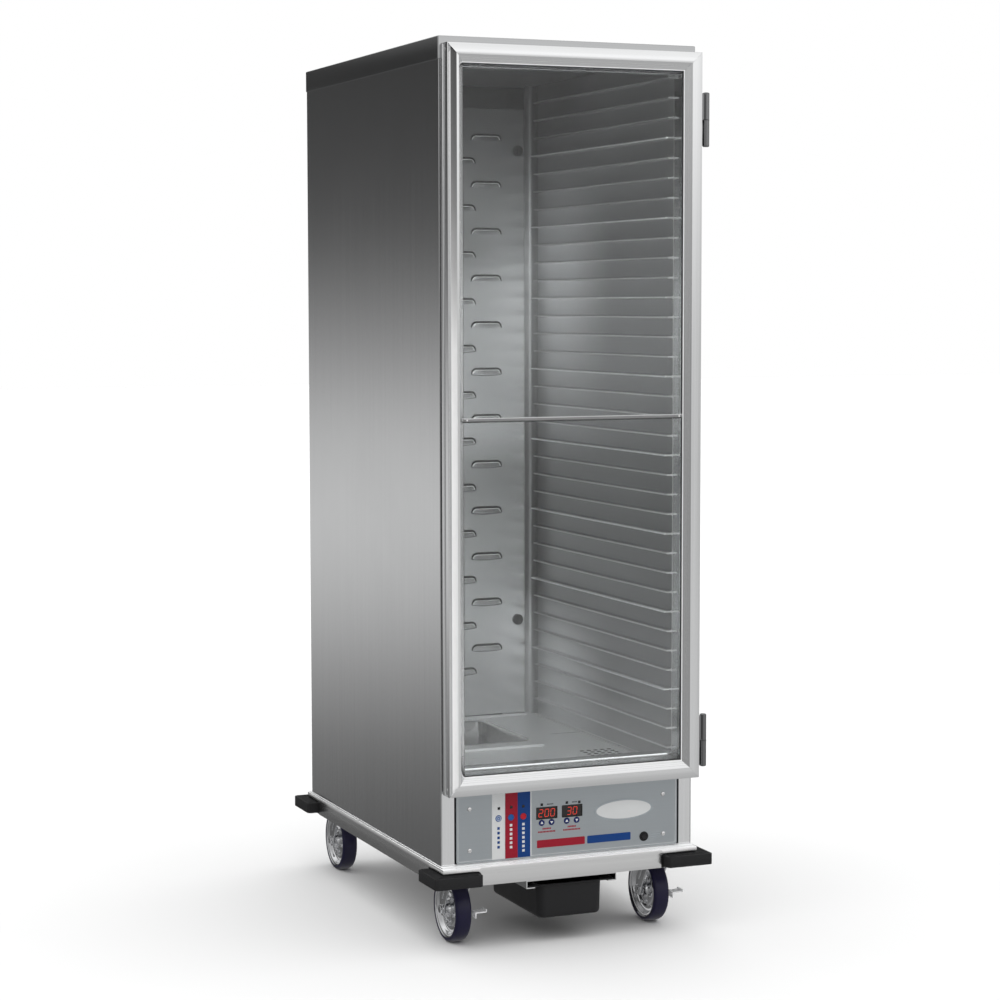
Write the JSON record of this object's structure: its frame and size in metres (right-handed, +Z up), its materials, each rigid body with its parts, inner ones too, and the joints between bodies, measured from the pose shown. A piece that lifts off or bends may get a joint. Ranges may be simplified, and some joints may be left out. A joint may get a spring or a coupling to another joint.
{
  "type": "proofing cabinet",
  "caption": "Tall mobile proofing cabinet with clear door, ribbed pan slides, rear air duct, heated water pan, lower control module and corner bumpers.",
  "frame": {"origin": "on the floor, in the middle of the footprint", "axes": "+Z up, the door faces -Y, +X to the right as seen from the front"},
  "size_m": [0.577, 0.856, 1.703],
  "materials": {
    "brushed_sheet": "vertical brushed sheet, satin",
    "bright_extrusion": "satin anodised extrusion",
    "base_aluminium": "satin mill finish",
    "galvanised": "dull galvanised sheet",
    "stainless": "polished stainless steel",
    "zinc_plate": "bright zinc plate",
    "bumper_rubber": "matt black rubber",
    "tyre_poly": "dark indigo polyurethane, satin",
    "black_plastic": "black moulded plastic, fine grain",
    "clear_sheet": "clear polycarbonate",
    "gasket_rubber": "dark grey gasket",
    "panel_face": "metallic blue-grey overlay with printed stripes",
    "display_black": "smoked display lens, red digits",
    "key_blue": "blue printed key",
    "key_red": "red printed key",
    "key_navy": "navy key with a light arrow",
    "element_alloy": "heat-darkened alloy sheath"
  },
  "bodies": {
    "root": {"top_cap": "brushed_sheet", "side_panel_left": "brushed_sheet", "side_panel_right": "brushed_sheet", "back_panel": "brushed_sheet", "front_frame": "bright_extrusion", "base_frame": "base_aluminium", "bumper_front_left": "bumper_rubber", "bumper_front_right": "bumper_rubber", "bumper_rear_left": "bumper_rubber", "bumper_rear_right": "bumper_rubber", "slide_rack_left": "brushed_sheet", "slide_rack_right": "brushed_sheet", "air_duct_panel": "brushed_sheet", "deck_panel": "brushed_sheet", "ceiling_panel": "brushed_sheet", "control_chassis": "galvanised", "control_faceplate": "panel_face", "display_board": "display_black", "heater_element": "element_alloy", "blower_casing": "galvanised", "power_cord": "black_plastic", "drip_pan_hanger": "brushed_sheet", "hinge_lower_leaf_frame": "stainless", "hinge_upper_leaf_frame": "stainless"},
    "door": {"door_stile_latch": "bright_extrusion", "door_stile_hinge": "bright_extrusion", "door_rail_top": "bright_extrusion", "door_rail_bottom": "bright_extrusion", "door_window": "clear_sheet", "door_mid_bar": "bright_extrusion", "door_gasket": "gasket_rubber", "hinge_lower_leaf_door": "stainless", "hinge_upper_leaf_door": "stainless"},
    "water_pan": {"water_pan": "stainless"},
    "drip_pan": {"drip_pan": "black_plastic"},
    "duct_fastener_upper": {"duct_fastener_upper": "black_plastic"},
    "duct_fastener_lower": {"duct_fastener_lower": "black_plastic"},
    "blower_wheel": {"blower_wheel": "galvanised"},
    "breaker_button": {"breaker_button": "black_plastic"},
    "power_button": {"power_button": "key_blue"},
    "heater_button": {"heater_button": "key_blue"},
    "proofer_button": {"proofer_button": "key_red"},
    "heat_up_button": {"heat_up_button": "key_navy"},
    "heat_down_button": {"heat_down_button": "key_navy"},
    "proof_up_button": {"proof_up_button": "key_navy"},
    "proof_down_button": {"proof_down_button": "key_navy"},
    "caster_front_left_swivel": {"caster_front_left_fork": "zinc_plate"},
    "caster_front_left_wheel": {"caster_front_left_hub": "zinc_plate", "caster_front_left_tyre": "tyre_poly"},
    "caster_front_left_brake": {"caster_front_left_brake_pedal": "zinc_plate"},
    "caster_front_right_swivel": {"caster_front_right_fork": "zinc_plate"},
    "caster_front_right_wheel": {"caster_front_right_hub": "zinc_plate", "caster_front_right_tyre": "tyre_poly"},
    "caster_front_right_brake": {"caster_front_right_brake_pedal": "zinc_plate"},
    "caster_rear_left_swivel": {"caster_rear_left_fork": "zinc_plate"},
    "caster_rear_left_wheel": {"caster_rear_left_hub": "zinc_plate", "caster_rear_left_tyre": "tyre_poly"},
    "caster_rear_right_swivel": {"caster_rear_right_fork": "zinc_plate"},
    "caster_rear_right_wheel": {"caster_rear_right_hub": "zinc_plate", "caster_rear_right_tyre": "tyre_poly"}
  },
  "joints": [
    {"name": "door_hinge", "type": "hinge", "parent": "root", "child": "door", "pos_m": [0.276, -0.406, 0.95], "axis": [0, 0, 1], "range_deg": [0, 180]},
    {"name": "water_pan_lift", "type": "slide", "parent": "root", "child": "water_pan", "axis": [0, 0, 1], "range_m": [0, 0.2]},
    {"name": "drip_pan_slide", "type": "slide", "parent": "root", "child": "drip_pan", "axis": [0, -1, 0], "range_m": [0, 0.24]},
    {"name": "duct_fastener_upper_turn", "type": "hinge", "parent": "root", "child": "duct_fastener_upper", "pos_m": [0.1928, 0.318, 1.5436], "axis": [0, 1, 0], "range_deg": [0, 90]},
    {"name": "duct_fastener_lower_turn", "type": "hinge", "parent": "root", "child": "duct_fastener_lower", "pos_m": [0.1928, 0.318, 0.5245], "axis": [0, 1, 0], "range_deg": [0, 90]},
    {"name": "blower_spin", "type": "hinge", "parent": "root", "child": "blower_wheel", "pos_m": [0, 0.322, 0.222], "axis": [1, 0, 0], "continuous": true},
    {"name": "power_press", "type": "slide", "parent": "root", "child": "power_button", "axis": [0, 1, 0], "range_m": [0, 0.0006]},
    {"name": "heater_press", "type": "slide", "parent": "root", "child": "heater_button", "axis": [0, 1, 0], "range_m": [0, 0.0006]},
    {"name": "proofer_press", "type": "slide", "parent": "root", "child": "proofer_button", "axis": [0, 1, 0], "range_m": [0, 0.0006]},
    {"name": "heat_up_press", "type": "slide", "parent": "root", "child": "heat_up_button", "axis": [0, 1, 0], "range_m": [0, 0.0006]},
    {"name": "heat_down_press", "type": "slide", "parent": "root", "child": "heat_down_button", "axis": [0, 1, 0], "range_m": [0, 0.0006]},
    {"name": "proof_up_press", "type": "slide", "parent": "root", "child": "proof_up_button", "axis": [0, 1, 0], "range_m": [0, 0.0006]},
    {"name": "proof_down_press", "type": "slide", "parent": "root", "child": "proof_down_button", "axis": [0, 1, 0], "range_m": [0, 0.0006]},
    {"name": "breaker_press", "type": "slide", "parent": "root", "child": "breaker_button", "axis": [0, 1, 0], "range_m": [0, 0.002]},
    {"name": "caster_front_left_swivel_turn", "type": "hinge", "parent": "root", "child": "caster_front_left_swivel", "pos_m": [-0.208, -0.335, 0.148], "axis": [0, 0, 1], "continuous": true},
    {"name": "caster_front_left_wheel_spin", "type": "hinge", "parent": "caster_front_left_swivel", "child": "caster_front_left_wheel", "pos_m": [-0.208, -0.3065, 0.0635], "axis": [1, 0, 0], "continuous": true},
    {"name": "caster_front_left_brake_press", "type": "hinge", "parent": "caster_front_left_swivel", "child": "caster_front_left_brake", "pos_m": [-0.208, -0.3065, 0.0635], "axis": [1, 0, 0], "range_deg": [0, 18]},
    {"name": "caster_front_right_swivel_turn", "type": "hinge", "parent": "root", "child": "caster_front_right_swivel", "pos_m": [0.208, -0.335, 0.148], "axis": [0, 0, 1], "continuous": true},
    {"name": "caster_front_right_wheel_spin", "type": "hinge", "parent": "caster_front_right_swivel", "child": "caster_front_right_wheel", "pos_m": [0.208, -0.3065, 0.0635], "axis": [1, 0, 0], "continuous": true},
    {"name": "caster_front_right_brake_press", "type": "hinge", "parent": "caster_front_right_swivel", "child": "caster_front_right_brake", "pos_m": [0.208, -0.3065, 0.0635], "axis": [1, 0, 0], "range_deg": [0, 18]},
    {"name": "caster_rear_left_swivel_turn", "type": "hinge", "parent": "root", "child": "caster_rear_left_swivel", "pos_m": [-0.208, 0.321, 0.148], "axis": [0, 0, 1], "continuous": true},
    {"name": "caster_rear_left_wheel_spin", "type": "hinge", "parent": "caster_rear_left_swivel", "child": "caster_rear_left_wheel", "pos_m": [-0.208, 0.3495, 0.0635], "axis": [1, 0, 0], "continuous": true},
    {"name": "caster_rear_right_swivel_turn", "type": "hinge", "parent": "root", "child": "caster_rear_right_swivel", "pos_m": [0.208, 0.321, 0.148], "axis": [0, 0, 1], "continuous": true},
    {"name": "caster_rear_right_wheel_spin", "type": "hinge", "parent": "caster_rear_right_swivel", "child": "caster_rear_right_wheel", "pos_m": [0.208, 0.3495, 0.0635], "axis": [1, 0, 0], "continuous": true}
  ]
}
